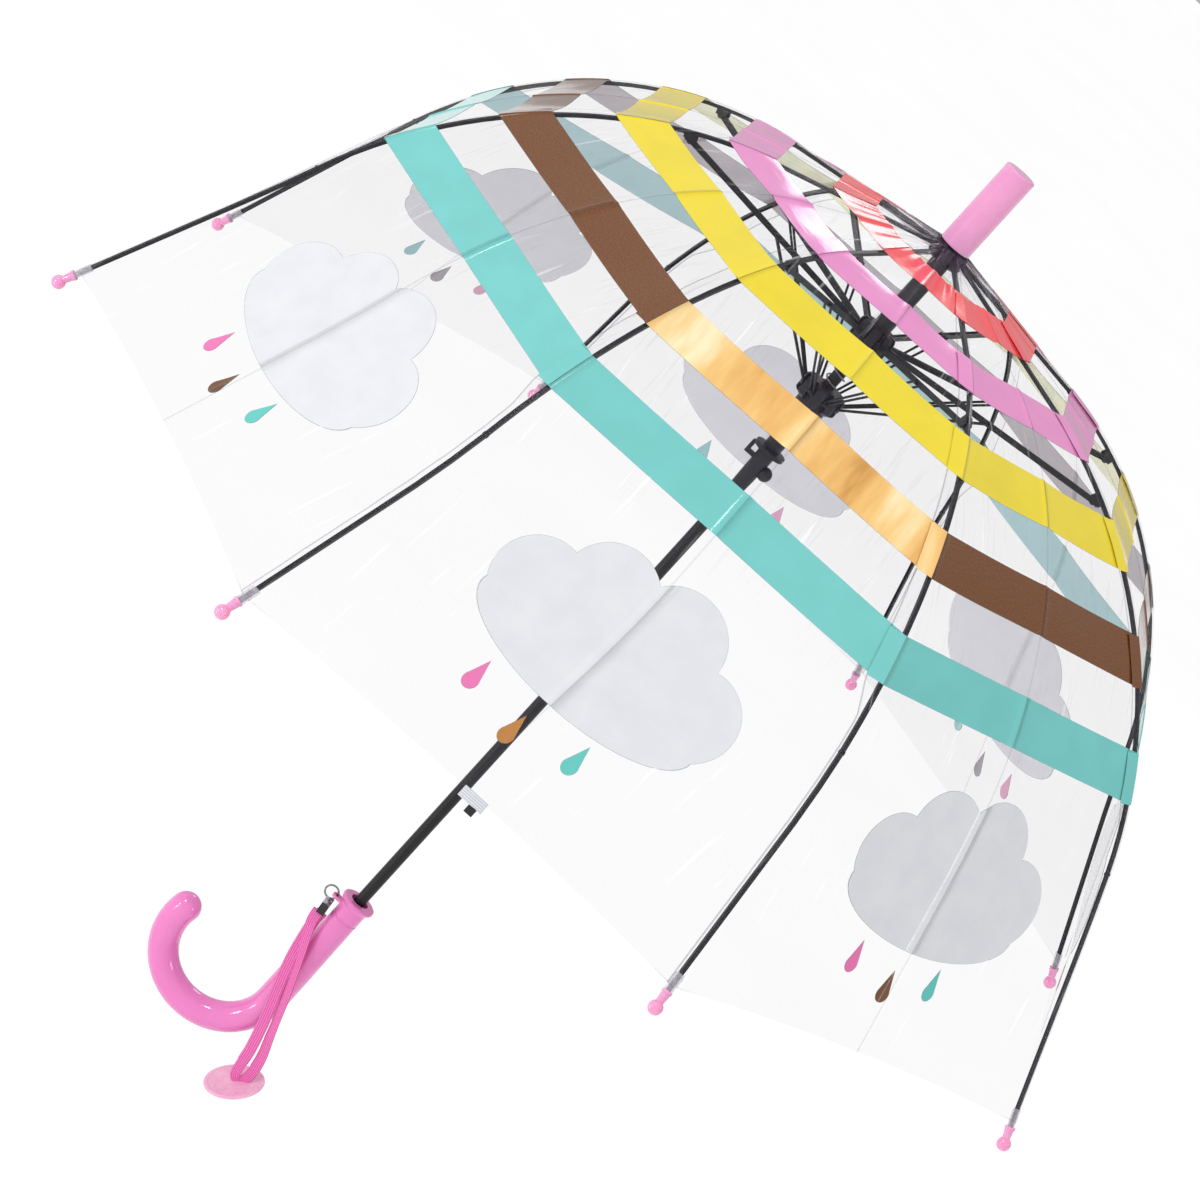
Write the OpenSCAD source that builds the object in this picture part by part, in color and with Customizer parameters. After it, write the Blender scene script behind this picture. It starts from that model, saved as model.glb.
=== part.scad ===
// Children's dome umbrella with a clear film canopy, eight curved ribs, a
// two-hub opening linkage, a J-shaped handle and a wrist strap with a tag.
// Frame: +Z runs up the shaft to the ferrule, the origin is on the shaft axis in
// the middle of the straight grip, the hook of the handle opens towards +X.
// Heights named *_z below are measured from the apex of the canopy.

/* [Canopy] */
// Length of a rib along its curve, from the shaft axis to the tip
rib_arc = 502; // [480:1:520]
// Length of the straight part of a rib next to the crown
rib_straight = 110; // [95:1:120]
// Arc length at which the shoulder bend of a rib ends and its straight lower part starts
rib_shoulder = 355; // [345:1:365]
// Slope of the straight part below horizontal, degrees
slope_top = 12; // [10:0.5:14]
// Slope of a rib from the end of its shoulder to the tip, degrees
slope_shoulder = 64.7; // [62:0.1:67]
// Sideways lean of the lower part of every rib, degrees
rib_lean = 5.8; // [0:0.1:6]
// Thickness of the canopy film
film_t = 0.4; // [0.3:0.05:0.6]
// Width of the clear film's tie strap
tie_w = 14; // [12:1:24]

/* [Ribs and linkage] */
// Width of the rib channel across the rib
rib_w = 2.2; // [2.1:0.1:2.6]
// Height of the rib channel
rib_h = 2.0; // [1.9:0.1:2.4]
// Width of a stretcher
str_w = 2.4; // [2:0.1:2.6]
// Height of a stretcher
str_h = 3.0; // [2.4:0.1:3.2]
// Radius of the strut wire
wire_r = 0.7; // [0.6:0.05:0.75]
// Diameter of the ball on a rib tip
tip_ball = 7.6; // [7:0.2:9]

/* [Shaft and ferrule] */
// Outer diameter of the shaft tube
shaft_d = 7; // [6:0.1:7]
// Wall of the shaft tube
shaft_wall = 0.6; // [0.4:0.1:1]
// Height of the ferrule above the canopy apex
ferrule_h = 50.4; // [40:0.2:56]
// Diameter of the ferrule
ferrule_d = 18.8; // [16:0.2:20]

/* [Handle] */
// Diameter of the grip at the hook
grip_d = 18; // [16:0.5:19]
// Radius of the hook's centre line
hook_r = 36; // [33:1:38]
// Height of the apex above the origin
apex_up = 545; // [540:1:550]

/* [Hidden] */
$fn = 48;

shaft_r = shaft_d / 2;
bore_r = shaft_r + 0.08;      // running fit of the two hubs on the shaft
rib_off = 2.0;                // rib centre line below the film
pin_r = 0.8;
pin_bore = 0.86;              // running fit on the hinge pins
slot_w = 3.2;

// Profile of a rib: a straight, an arc and a straight. d moves a point along the outward normal.
R1 = (rib_shoulder - rib_straight) / ((slope_shoulder - slope_top) * PI / 180);
p1 = [rib_straight * cos(slope_top), -rib_straight * sin(slope_top)];
p2 = p1 + R1 * [sin(slope_shoulder) - sin(slope_top), cos(slope_shoulder) - cos(slope_top)];
c1 = p1 - R1 * [sin(slope_top), cos(slope_top)];
function slope(s) = s <= rib_straight ? slope_top
  : s <= rib_shoulder ? slope_top + (s - rib_straight) / R1 * 180 / PI : slope_shoulder;
function prof(s, d = 0) = let (a = slope(s), n = [sin(a), cos(a)])
  (s <= rib_straight ? [s * cos(slope_top), -s * sin(slope_top)]
  : s <= rib_shoulder ? c1 + R1 * n : p2 + (s - rib_shoulder) * [cos(a), -sin(a)]) + d * n;
// The lower part leans sideways, in three steps
lean = [rib_lean * 0.34, rib_lean * 0.69, rib_lean];
function lat(s) = let (x = s - rib_shoulder)
  max(0, min(x, 20)) * tan(lean[0]) + max(0, min(x - 20, 20)) * tan(lean[1]) + max(0, x - 40) * tan(lean[2]);
function tw(s) = asin(lat(s) / prof(s)[0]);

// Pivots in the plane of a rib: [distance from the shaft axis, height from the apex]
piv_rib = [9, -6.2];                      // rib on the crown
piv_str = prof(157, -rib_off - 3.6);      // stretcher on the rib
piv_hub = [10, -66];                      // stretcher in the upper hub
piv_mid = (piv_hub + piv_str) / 2;        // strut on the stretcher
piv_run = [12, -108];                     // strut in the runner
str_len = norm(piv_str - piv_hub);
str_ang = atan2(piv_str[1] - piv_hub[1], piv_str[0] - piv_hub[0]);

function az(i) = -22.5 + 45 * i;
// From the plane of rib i, drawn in X and Y, to its place
module place(i) translate([0, 0, apex_up]) rotate([0, 0, az(i)]) rotate([90, 0, 0]) children();
module up() translate([0, 0, apex_up]) children();
// A rod between two points
module rod(p, q, r) {
  v = q - p;
  translate(p) rotate([0, acos(v[2] / norm(v)), atan2(v[1], v[0])]) cylinder(r = r, h = norm(v), $fn = 24);
}

// ---- shaft, crown, ferrule ----
module shaft() color([0.09, 0.09, 0.10]) up() translate([0, 0, -560]) difference() {
  cylinder(d = shaft_d, h = 560 + 26);
  translate([0, 0, -1]) cylinder(r = shaft_r - shaft_wall, h = 590);
}

module crown() color([0.12, 0.11, 0.13]) up() difference() {
  union() {
    difference() {
      rotate_extrude() polygon([[shaft_r, -12], [8.6, -12], [10.5, -10.4], [10.5, -3.0], [shaft_r, -1.5]]);
      for (i = [1:8]) rotate([0, 0, az(i)]) translate([6.4, -slot_w / 2, -13]) cube([6, slot_w, 9.3]);
    }
    for (i = [1:8]) rotate([0, 0, az(i)]) translate([piv_rib[0], 0, piv_rib[1]]) rotate([90, 0, 0])
      cylinder(r = pin_r, h = slot_w + 1.6, center = true, $fn = 24);
  }
  translate([0, 0, -13]) cylinder(r = shaft_r, h = 14);
}

module ferrule() color([0.92, 0.62, 0.82]) up() difference() {
  rotate_extrude() polygon([[0, -0.3], [shaft_r, -0.45], [ferrule_d / 2 - 0.4, -1.5], [ferrule_d / 2, -1.1], [ferrule_d / 2, ferrule_h - 1.2],
    [ferrule_d / 2 - 0.5, ferrule_h - 0.3], [ferrule_d / 2 - 1.2, ferrule_h], [0, ferrule_h]]);
  translate([0, 0, -2]) cylinder(r = shaft_r, h = 28);
}

// ---- hubs and spring ----
module upper_hub() color([0.13, 0.12, 0.15]) up() difference() {
  rotate_extrude() polygon([[bore_r, -73], [9.6, -73], [11.5, -71.6], [11.5, -61.5], [10.2, -59.4], [5.4, -59.4], [5.4, -12.4], [bore_r, -12.4]]);
  for (i = [1:8]) rotate([0, 0, az(i)]) translate([6.6, -slot_w / 2, -74]) cube([8, slot_w, 16]);
}

module runner() color([0.13, 0.12, 0.15]) up() difference() {
  union() {
    difference() {
      rotate_extrude() polygon([[bore_r, -102.3], [11.8, -102.3], [13.2, -103.6], [13.2, -112.6], [11.6, -114], [9.1, -114.6], [8.8, -128.6],
        [7.6, -131], [5.6, -132], [5.2, -147.4], [9.6, -148], [9.6, -150.4], [5.2, -151.2], [4.7, -168], [4.4, -175.4], [bore_r, -176]]);
      for (i = [1:8]) rotate([0, 0, az(i)]) translate([9.6, -2.1, -116]) cube([6, 4.2, 15]);
    }
    // Thumb ball on one side of the sleeve
    translate([-6.6, 0, -161]) sphere(r = 4.2);
    // Finger hook on the other side
    translate([4.2, -1.6, -158]) cube([5.6, 3.2, 2.4]);
    translate([8.4, -1.6, -158]) cube([2.2, 3.2, 7.2]);
    translate([9.5, 0, -150.8]) rotate([90, 0, 0]) cylinder(r = 1.1, h = 3.2, center = true, $fn = 24);
  }
  translate([0, 0, -180]) cylinder(r = bore_r, h = 90);
}

// Coil between the hubs, five turns of round wire
spr_n = 84;
spr_k = 8;
function spr(i, j) = let (t = i / spr_n, a = 360 * 5 * t, b = 360 * j / spr_k, R = 4.6 + 0.5 * cos(b))
  [R * cos(a), R * sin(a), -74.2 - 26.9 * t + 0.5 * sin(b)];
module main_spring() color([0.62, 0.62, 0.64]) up() polyhedron(
  points = [for (i = [0:spr_n]) for (j = [0:spr_k - 1]) spr(i, j)],
  faces = concat([[for (j = [spr_k - 1:-1:0]) j]], [[for (j = [0:spr_k - 1]) spr_n * spr_k + j]],
    [for (i = [0:spr_n - 1]) for (j = [0:spr_k - 1]) [i * spr_k + j, i * spr_k + (j + 1) % spr_k, (i + 1) * spr_k + j]],
    [for (i = [0:spr_n - 1]) for (j = [0:spr_k - 1]) [i * spr_k + (j + 1) % spr_k, (i + 1) * spr_k + (j + 1) % spr_k, (i + 1) * spr_k + j]]));

// ---- one rib and what hangs on it ----
module rib_section() difference() {
  square([rib_h, rib_w], center = true);
  translate([-rib_h / 2 - 0.6, -0.7]) square([1.8, 1.4]);
}
// Straight lower part, leaning sideways in three steps
low_st = [rib_shoulder, rib_shoulder + 20, rib_shoulder + 40, rib_arc - 5.2];
low_sec = [[-rib_h / 2, -rib_w / 2], [rib_h / 2, -rib_w / 2], [rib_h / 2, rib_w / 2], [-rib_h / 2, rib_w / 2],
  [-rib_h / 2, 0.7], [-rib_h / 2 + 1.2, 0.7], [-rib_h / 2 + 1.2, -0.7], [-rib_h / 2, -0.7]];
function low_ring(c, n, z) = [for (q = low_sec) [c[0] + n[0] * q[0], c[1] + n[1] * q[0], z + q[1]]];
// A straight channel through a list of rings
module channel(rings) polyhedron(
  points = [for (r = rings) each r],
  faces = concat([[0, 1, 6, 7], [1, 2, 5, 6], [2, 3, 4, 5]], [for (f = [[0, 1, 6, 7], [1, 2, 5, 6], [2, 3, 4, 5]]) [for (k = [3:-1:0]) 8 * len(rings) - 8 + f[k]]],
    [for (j = [0:len(rings) - 2]) for (k = [0:7]) [8 * j + k, 8 * j + 8 + k, 8 * j + 8 + (k + 1) % 8, 8 * j + (k + 1) % 8]]));
module rib(i) color([0.10, 0.10, 0.11]) place(i) {
  e = prof(rib_straight, -rib_off);
  a0 = atan2(e[1] - piv_rib[1], e[0] - piv_rib[0]);
  // Eye on the crown pin
  difference() {
    union() {
      translate(piv_rib) cylinder(r = 2, h = rib_w, center = true);
      translate(piv_rib) rotate([0, 0, a0]) translate([1.2, 0, 0]) rotate([90, 0, 90]) linear_extrude(norm(e - piv_rib) - 1.2) rib_section();
    }
    translate(piv_rib) cylinder(r = pin_bore, h = 8, center = true, $fn = 24);
  }
  // Shoulder bend and straight lower part
  translate(c1) rotate([0, 0, 90 - slope_shoulder]) rotate_extrude(angle = slope_shoulder - slope_top, $fn = 180)
    translate([R1 - rib_off, 0]) rib_section();
  channel([for (s = low_st) low_ring(prof(s, -rib_off), [sin(slope_shoulder), cos(slope_shoulder)], lat(s))]);
  // Swages where the bent channel meets the two straight ones
  for (s = [rib_straight, rib_shoulder]) translate(prof(s, -rib_off)) cylinder(r = 1.35, h = rib_w + 0.3, center = true, $fn = 32);
  // Ears and pin for the stretcher
  a = slope(157);
  q = prof(157, -rib_off);
  for (k = [-1, 1]) translate([0, 0, k * 1.8]) translate(q) rotate([0, 0, -a]) {
    translate([-3.4, -3.8, -0.35]) cube([6.8, 4.4, 0.7]);
    translate([0, -3.6, 0]) cylinder(r = 2.1, h = 0.7, center = true);
    // Clip over the rib
    translate([-3.0, -0.5, k > 0 ? -0.85 : -0.15]) cube([6.0, 0.9, 1]);
  }
  translate(piv_str) cylinder(r = pin_r, h = 4.3, center = true, $fn = 24);
}

module rib_tip(i) color([0.95, 0.60, 0.80]) place(i) {
  q = prof(rib_arc, -rib_off);
  translate(q) rotate([0, 0, -slope(rib_arc)]) translate([0, 0, lat(rib_arc)]) rotate([0, -rib_lean, 0]) difference() {
    union() {
      sphere(d = tip_ball);
      rotate([0, 90, 0]) translate([0, 0, -9]) cylinder(r1 = 2.5, r2 = 2.0, h = 7);
      translate([-9.6, 0, 0]) rotate([0, 90, 0]) cylinder(r = 2.8, h = 1.4);
    }
    translate([-12, 0, 0]) rotate([0, 90, 0]) cylinder(r = 1.52, h = 7.1);
  }
}

module stretcher(i) color([0.12, 0.12, 0.13]) place(i) difference() {
  translate(piv_hub) rotate([0, 0, str_ang]) union() {
    translate([1, -str_h / 2, -str_w / 2]) cube([str_len - 2, str_h, str_w]);
    cylinder(r = 1.9, h = str_w, center = true);
    translate([str_len, 0, 0]) cylinder(r = 1.9, h = str_w, center = true);
  }
  // Channel along the top
  translate(piv_hub) rotate([0, 0, str_ang]) for (x = [[7, str_len / 2 - 4], [str_len / 2 + 4, str_len - 7]])
    translate([x[0], -0.3, -0.7]) cube([x[1] - x[0], 4, 1.4]);
  for (p = [piv_hub, piv_str]) translate(p) cylinder(r = pin_bore, h = 8, center = true, $fn = 24);
  translate(piv_mid) cylinder(r = wire_r + 0.08, h = 8, center = true, $fn = 24);
}

// A hairpin of wire: two legs, a cross bar through the stretcher and an eye
module strut(i) color([0.10, 0.10, 0.11]) place(i) difference() {
  union() {
    for (k = [-1, 1]) let (p = [piv_run[0], piv_run[1], k * 1.15], q = [piv_mid[0], piv_mid[1], k * 2.3])
      rod(p, q + (q - p) / norm(q - p) * 0.6, wire_r);
    translate(piv_mid) cylinder(r = wire_r - 0.02, h = 5.6, center = true, $fn = 24);
    translate(piv_run) cylinder(r = 1.8, h = 3.7, center = true);
  }
  translate(piv_run) cylinder(r = pin_bore, h = 8, center = true, $fn = 24);
}

// ---- canopy film, one half of a gore from beside its rib to the crease ----
st = concat([12, 60, rib_straight], [for (k = [1:8]) rib_straight + (rib_shoulder - rib_straight) * k / 8],
  [rib_shoulder + 20, rib_shoulder + 40, rib_shoulder + 86, rib_arc - 15]);
ch = [cos(112.5), sin(112.5)];
function turned(v, a) = [v[0] * cos(a) - v[1] * sin(a), v[0] * sin(a) + v[1] * cos(a), v[2]];
function film_pt(s, far, inner, sg) = let (p = prof(s), a = slope(s), t = far ? p[0] * sin(22.5) - 0.2 : 3.3 / ch[1],
    w = norm([sin(a), cos(a) * cos(22.5)]), d = inner ? -film_t / w : 0)
  turned([p[0] + t * ch[0] + d * sin(a) * cos(22.5), t * ch[1] + d * sin(a) * sin(22.5), p[1] + d * cos(a) * cos(22.5)], sg * tw(s));
module half_gore(sg) {
  m = len(st);
  polyhedron(
    points = [for (s = st) for (c = [[0, 0], [1, 0], [1, 1], [0, 1]]) film_pt(s, c[0] == 1, c[1] == 1, sg)],
    faces = concat([[0, 1, 2], [0, 2, 3], [4 * m - 4, 4 * m - 2, 4 * m - 3], [4 * m - 4, 4 * m - 1, 4 * m - 2]],
      [for (i = [0:m - 2]) for (j = [0, 1, 3]) [4 * i + j, 4 * i + 4 + j, 4 * i + (j + 1) % 4]],
      [for (i = [0:m - 2]) for (j = [0, 1, 3]) [4 * i + (j + 1) % 4, 4 * i + 4 + j, 4 * i + 4 + (j + 1) % 4]],
      // the inner skin is split along the same diagonal as the outer one, so the film keeps its thickness
      [for (i = [0:m - 2]) [4 * i + 2, 4 * i + 6, 4 * i + 7]],
      [for (i = [0:m - 2]) [4 * i + 2, 4 * i + 7, 4 * i + 3]]));
}
module panel_left(g) color([0.90, 0.92, 0.97, 0.35]) up() rotate([0, 0, az(g)]) half_gore(-1);
module panel_right(g) color([0.90, 0.92, 0.97, 0.35]) up() rotate([0, 0, az(g + 1)]) mirror([0, 1, 0]) half_gore(1);

// Tie strap on the hem of the second gore, just past its crease
tie_s = rib_arc - 14;
module tie_strap() color([0.80, 0.80, 0.84]) up() rotate([0, 0, 90 - tw(tie_s)]) {
  p = prof(tie_s);
  translate([p[0] * cos(22.5), 0, p[1]]) rotate([0, atan2(tan(slope(tie_s)), cos(22.5)), 0]) {
    translate([-3, 0.5, 0.4]) cube([6, tie_w, 1.1]);
    translate([3, 7, 0.4]) cube([4, 5.5, 1.6]);
  }
}

// ---- handle ----
module handle() color([0.90, 0.45, 0.74]) up() difference() {
  union() {
    rotate_extrude() polygon([[0, -581], [grip_d / 2, -581], [8.9, -560], [8.5, -530], [8.3, -514.4], [7.9, -514.0], [7.9, -513.2], [8.3, -512.8],
      [8.4, -505], [9.0, -503.8], [10.2, -503.2], [10.6, -502], [10.2, -501], [9.4, -500.6], [0, -500.6]]);
    translate([hook_r, 0, -581]) rotate([90, 0, 0]) rotate([0, 0, 180]) rotate_extrude(angle = 192, $fn = 96)
      translate([hook_r, 0]) circle(d = grip_d);
    translate([hook_r + hook_r * cos(12), 0, -581 + hook_r * sin(12)]) sphere(d = grip_d);
    // Lug for the strap ring
    translate([7, -3.2, -508.2]) cube([4.2, 6.4, 1.5]);
    translate([11.2, 0, -508.2]) cylinder(r = 3.2, h = 1.5);
  }
  translate([0, 0, -560]) cylinder(r = shaft_r, h = 62);
  translate([0, 0, -518]) cylinder(r = 5.6, h = 20);
  translate([11.4, 0, -510]) cylinder(r = 2.0, h = 6);
  // Bore of the release button, on the side away from the hook's front
  translate([0, -3.8, -508]) rotate([90, 0, 0]) cylinder(r = 3.3, h = 9.2);
}

module release_button() color([0.86, 0.38, 0.68]) up() translate([0, 0, -508]) rotate([90, 0, 0]) {
  translate([0, 0, 6.4]) cylinder(r = 3.22, h = 4.4);
  translate([0, 0, 10.8]) cylinder(r1 = 3.22, r2 = 2.5, h = 0.7);
}

// ---- wrist strap ----
// Route of the webbing from the crimp down one run, round through the tag and up the other
route = [[12, 3, -519], [12, 5, -526], [10.5, 8, -536], [8, 10.5, -548], [4.5, 12, -560], [0.5, 12.5, -572], [-3.5, 12.5, -584], [-7, 12.5, -596],
  [-10, 12.5, -608], [-11.5, 12.5, -618], [-13, 12.5, -625], [-16, 12.3, -627.5], [-19, 12, -625],
  [-19.5, 12, -617], [-17.5, 12.2, -606], [-13.5, 13, -594], [-9.5, 13.5, -582], [-5.5, 13.6, -570], [-1, 13.4, -558], [4, 12, -546], [9, 9.6, -535],
  [13, 6.4, -526], [14, 4.6, -519]];
strap_w = 7;
strap_t = 1.1;
function dir(k) = let (a = route[max(k - 1, 0)], b = route[min(k + 1, len(route) - 1)]) (b - a) / norm(b - a);
function unit(v) = v / norm(v);
// Across the webbing, turning from along the hook's plane to square with it
function across(k) = unit(cross(dir(k), [0.15, 1, 0]));
function ring8(k) = let (u = across(k), n = unit(cross(dir(k), u)))
  [for (c = [[-1, -0.6], [-0.85, -1], [0.85, -1], [1, -0.6], [1, 0.6], [0.85, 1], [-0.85, 1], [-1, 0.6]])
    route[k] + u * c[0] * strap_w / 2 * (k >= 9 && k <= 13 ? 0.9 : 1) + n * c[1] * strap_t / 2];
module wrist_strap() color([0.93, 0.35, 0.66]) up() {
  n = len(route);
  polyhedron(points = [for (k = [0:n - 1]) each ring8(k)],
    faces = concat([[for (j = [0:7]) j]], [[for (j = [7:-1:0]) (n - 1) * 8 + j]],
      [for (k = [0:n - 2]) for (j = [0:7]) [k * 8 + (j + 1) % 8, k * 8 + j, (k + 1) * 8 + j]],
      [for (k = [0:n - 2]) for (j = [0:7]) [k * 8 + (j + 1) % 8, (k + 1) * 8 + j, (k + 1) * 8 + (j + 1) % 8]]));
}

module strap_ring() color([0.78, 0.78, 0.80]) up() {
  translate([15.4, 0, -507.5]) rotate([90, 0, 0]) rotate_extrude() translate([4.0, 0]) circle(r = 0.6, $fn = 24);
  // Crimp that holds the two ends of the webbing
  translate([13, 3.8, -515]) rotate([-12, 6, 0]) difference() {
    translate([-2.4, -4, -4]) cube([4.8, 8, 8]);
    translate([-1.6, -5, -5]) cube([3.2, 3, 3]);
  }
}

module strap_tag() color([0.95, 0.62, 0.80, 0.8]) up() translate([-15.6, 12.2, -629.5]) rotate([-11, 37, 0]) cylinder(d = 35, h = 2, center = true, $fn = 72);

shaft();
crown();
ferrule();
upper_hub();
runner();
main_spring();
handle();
release_button();
wrist_strap();
strap_ring();
strap_tag();
tie_strap();
rib(1);  // rib_1
rib_tip(1);  // rib_tip_1
stretcher(1);  // stretcher_1
strut(1);  // strut_1
panel_left(1);  // panel_1_left
panel_right(1);  // panel_1_right
rib(2);  // rib_2
rib_tip(2);  // rib_tip_2
stretcher(2);  // stretcher_2
strut(2);  // strut_2
panel_left(2);  // panel_2_left
panel_right(2);  // panel_2_right
rib(3);  // rib_3
rib_tip(3);  // rib_tip_3
stretcher(3);  // stretcher_3
strut(3);  // strut_3
panel_left(3);  // panel_3_left
panel_right(3);  // panel_3_right
rib(4);  // rib_4
rib_tip(4);  // rib_tip_4
stretcher(4);  // stretcher_4
strut(4);  // strut_4
panel_left(4);  // panel_4_left
panel_right(4);  // panel_4_right
rib(5);  // rib_5
rib_tip(5);  // rib_tip_5
stretcher(5);  // stretcher_5
strut(5);  // strut_5
panel_left(5);  // panel_5_left
panel_right(5);  // panel_5_right
rib(6);  // rib_6
rib_tip(6);  // rib_tip_6
stretcher(6);  // stretcher_6
strut(6);  // strut_6
panel_left(6);  // panel_6_left
panel_right(6);  // panel_6_right
rib(7);  // rib_7
rib_tip(7);  // rib_tip_7
stretcher(7);  // stretcher_7
strut(7);  // strut_7
panel_left(7);  // panel_7_left
panel_right(7);  // panel_7_right
rib(8);  // rib_8
rib_tip(8);  // rib_tip_8
stretcher(8);  // stretcher_8
strut(8);  // strut_8
panel_left(8);  // panel_8_left
panel_right(8);  // panel_8_right
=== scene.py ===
import bpy, bmesh, math
import numpy as np
from mathutils import Vector, Matrix


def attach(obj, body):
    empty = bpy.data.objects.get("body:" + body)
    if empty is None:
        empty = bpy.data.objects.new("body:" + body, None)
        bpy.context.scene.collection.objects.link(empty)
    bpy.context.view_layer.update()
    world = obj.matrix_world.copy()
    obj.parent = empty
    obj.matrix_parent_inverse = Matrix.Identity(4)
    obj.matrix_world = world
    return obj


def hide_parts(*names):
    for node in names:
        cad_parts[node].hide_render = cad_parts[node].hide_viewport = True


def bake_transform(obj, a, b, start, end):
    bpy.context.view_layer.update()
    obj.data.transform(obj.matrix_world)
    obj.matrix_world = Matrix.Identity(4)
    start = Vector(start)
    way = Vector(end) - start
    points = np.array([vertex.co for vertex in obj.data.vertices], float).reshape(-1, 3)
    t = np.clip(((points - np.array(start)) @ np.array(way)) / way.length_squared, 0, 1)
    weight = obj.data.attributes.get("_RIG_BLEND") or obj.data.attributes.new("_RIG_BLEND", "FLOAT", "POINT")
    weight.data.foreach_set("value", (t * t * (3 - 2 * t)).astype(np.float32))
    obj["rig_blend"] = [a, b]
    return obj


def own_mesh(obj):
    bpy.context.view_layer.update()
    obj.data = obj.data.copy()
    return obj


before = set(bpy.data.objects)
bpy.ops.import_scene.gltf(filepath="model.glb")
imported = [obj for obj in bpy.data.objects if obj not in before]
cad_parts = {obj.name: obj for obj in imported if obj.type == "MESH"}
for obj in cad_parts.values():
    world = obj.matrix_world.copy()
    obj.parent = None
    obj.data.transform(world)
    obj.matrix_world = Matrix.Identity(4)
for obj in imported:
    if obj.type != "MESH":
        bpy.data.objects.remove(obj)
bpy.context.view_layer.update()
scene = bpy.context.scene
MM = 0.001
AP = 545.0          # height of the canopy's apex above the origin, mm

# ------------------------------------------------------------------ camera
CAM_R = np.array([[-0.7565, 0.1232, 0.6423], [-0.5266, 0.4677, -0.7099], [-0.3879, -0.8753, -0.2889]])
u_, s_, vt_ = np.linalg.svd(CAM_R); CAM_R = u_ @ vt_
CAM_T = np.array([186.6, -185.9, 1939.4])
a = math.radians(22.5)
RZ = np.array([[math.cos(a), -math.sin(a), 0], [math.sin(a), math.cos(a), 0], [0, 0, 1]])
R = CAM_R @ RZ.T
T = CAM_T - R @ np.array([0, 0, AP])
cam_data = bpy.data.cameras.new("camera")
cam_data.sensor_width = 36.0
cam_data.lens = 36.0 * 3707.3 / 1200.0
cam_data.clip_start, cam_data.clip_end = 0.05, 60
cam = bpy.data.objects.new("camera", cam_data)
scene.collection.objects.link(cam)
rot = R.T @ np.diag([1.0, -1.0, -1.0])
loc = -R.T @ T * MM
m = Matrix.Identity(4)
for i in range(3):
    for j in range(3):
        m[i][j] = float(rot[i, j])
    m[i][3] = float(loc[i])
cam.matrix_world = m
scene.camera = cam

# ------------------------------------------------------------------ shape of a rib, as in the CAD
S1, S2, S3 = 110.0, 355.0, 502.0
A1, A2 = [math.radians(v) for v in (12, 64.7)]
R1 = (S2 - S1) / (A2 - A1)
P1 = np.array([S1 * math.cos(A1), -S1 * math.sin(A1)])
P2 = P1 + R1 * np.array([math.sin(A2) - math.sin(A1), math.cos(A2) - math.cos(A1)])
LEAN = [math.tan(math.radians(5.8 * k)) for k in (0.34, 0.69, 1.0)]


def slope(s):
    return A1 if s <= S1 else A1 + (s - S1) / R1 if s <= S2 else A2


def prof(s, d=0.0):
    al = slope(s)
    n = np.array([math.sin(al), math.cos(al)])
    if s <= S1:
        p = np.array([s * math.cos(A1), -s * math.sin(A1)])
    elif s <= S2:
        p = P1 - R1 * np.array([math.sin(A1), math.cos(A1)]) + R1 * n
    else:
        p = P2 + (s - S2) * np.array([math.cos(A2), -math.sin(A2)])
    return p + d * n


def lat(s):
    """How far the lower part of a rib leans sideways at s."""
    x = s - S2
    return max(0, min(x, 20)) * LEAN[0] + max(0, min(x - 20, 20)) * LEAN[1] + max(0, x - 40) * LEAN[2]


def tw(s):
    return math.asin(lat(s) / prof(s)[0])


C8, S8 = math.cos(math.pi / 8), math.sin(math.pi / 8)
EX, EY = math.cos(math.radians(112.5)), math.sin(math.radians(112.5))


def az(i):
    return math.radians(-22.5 + 45 * i)


def turn(p, ang):
    c, s = math.cos(ang), math.sin(ang)
    return np.stack([p[..., 0] * c - p[..., 1] * s, p[..., 0] * s + p[..., 1] * c, p[..., 2]], -1)


def new_mesh(name, verts, faces, smooth=True):
    me = bpy.data.meshes.new(name)
    me.from_pydata([tuple(float(x) for x in v) for v in verts], [], [tuple(int(i) for i in f) for f in faces])
    me.update()
    ob = bpy.data.objects.new(name, me)
    scene.collection.objects.link(ob)
    if smooth:
        me.polygons.foreach_set("use_smooth", [True] * len(me.polygons))
    return ob


# ------------------------------------------------------------------ materials
def mat(name):
    mt = bpy.data.materials.new(name)
    mt.use_nodes = True
    nt = mt.node_tree
    b = nt.nodes["Principled BSDF"]
    return mt, nt, b


def node(nt, kind, **kw):
    n = nt.nodes.new(kind)
    for k, v in kw.items():
        setattr(n, k, v)
    return n


def math_(nt, op, a_, b_=None, c_=None, clamp=False):
    n = node(nt, "ShaderNodeMath", operation=op, use_clamp=clamp)
    for i, v in enumerate((a_, b_, c_)):
        if v is None:
            continue
        if isinstance(v, (int, float)):
            n.inputs[i].default_value = v
        else:
            nt.links.new(v, n.inputs[i])
    return n.outputs[0]


def noise(nt, scale, detail=3.0, rough=0.5, coord=None, space="Object"):
    n = node(nt, "ShaderNodeTexNoise")
    n.inputs["Scale"].default_value = scale
    n.inputs["Detail"].default_value = detail
    n.inputs["Roughness"].default_value = rough
    if coord is None:
        tc = node(nt, "ShaderNodeTexCoord")
        coord = tc.outputs[space]
    nt.links.new(coord, n.inputs["Vector"])
    return n.outputs["Fac"]


def ramp(nt, fac, stops, interp="LINEAR"):
    r = node(nt, "ShaderNodeValToRGB")
    r.color_ramp.interpolation = interp
    els = r.color_ramp.elements
    while len(els) > 1:
        els.remove(els[-1])
    els[0].position, els[0].color = stops[0][0], (*stops[0][1], 1)
    for p, c in stops[1:]:
        e = els.new(p)
        e.color = (*c, 1)
    nt.links.new(fac, r.inputs["Fac"])
    return r.outputs["Color"]


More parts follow.
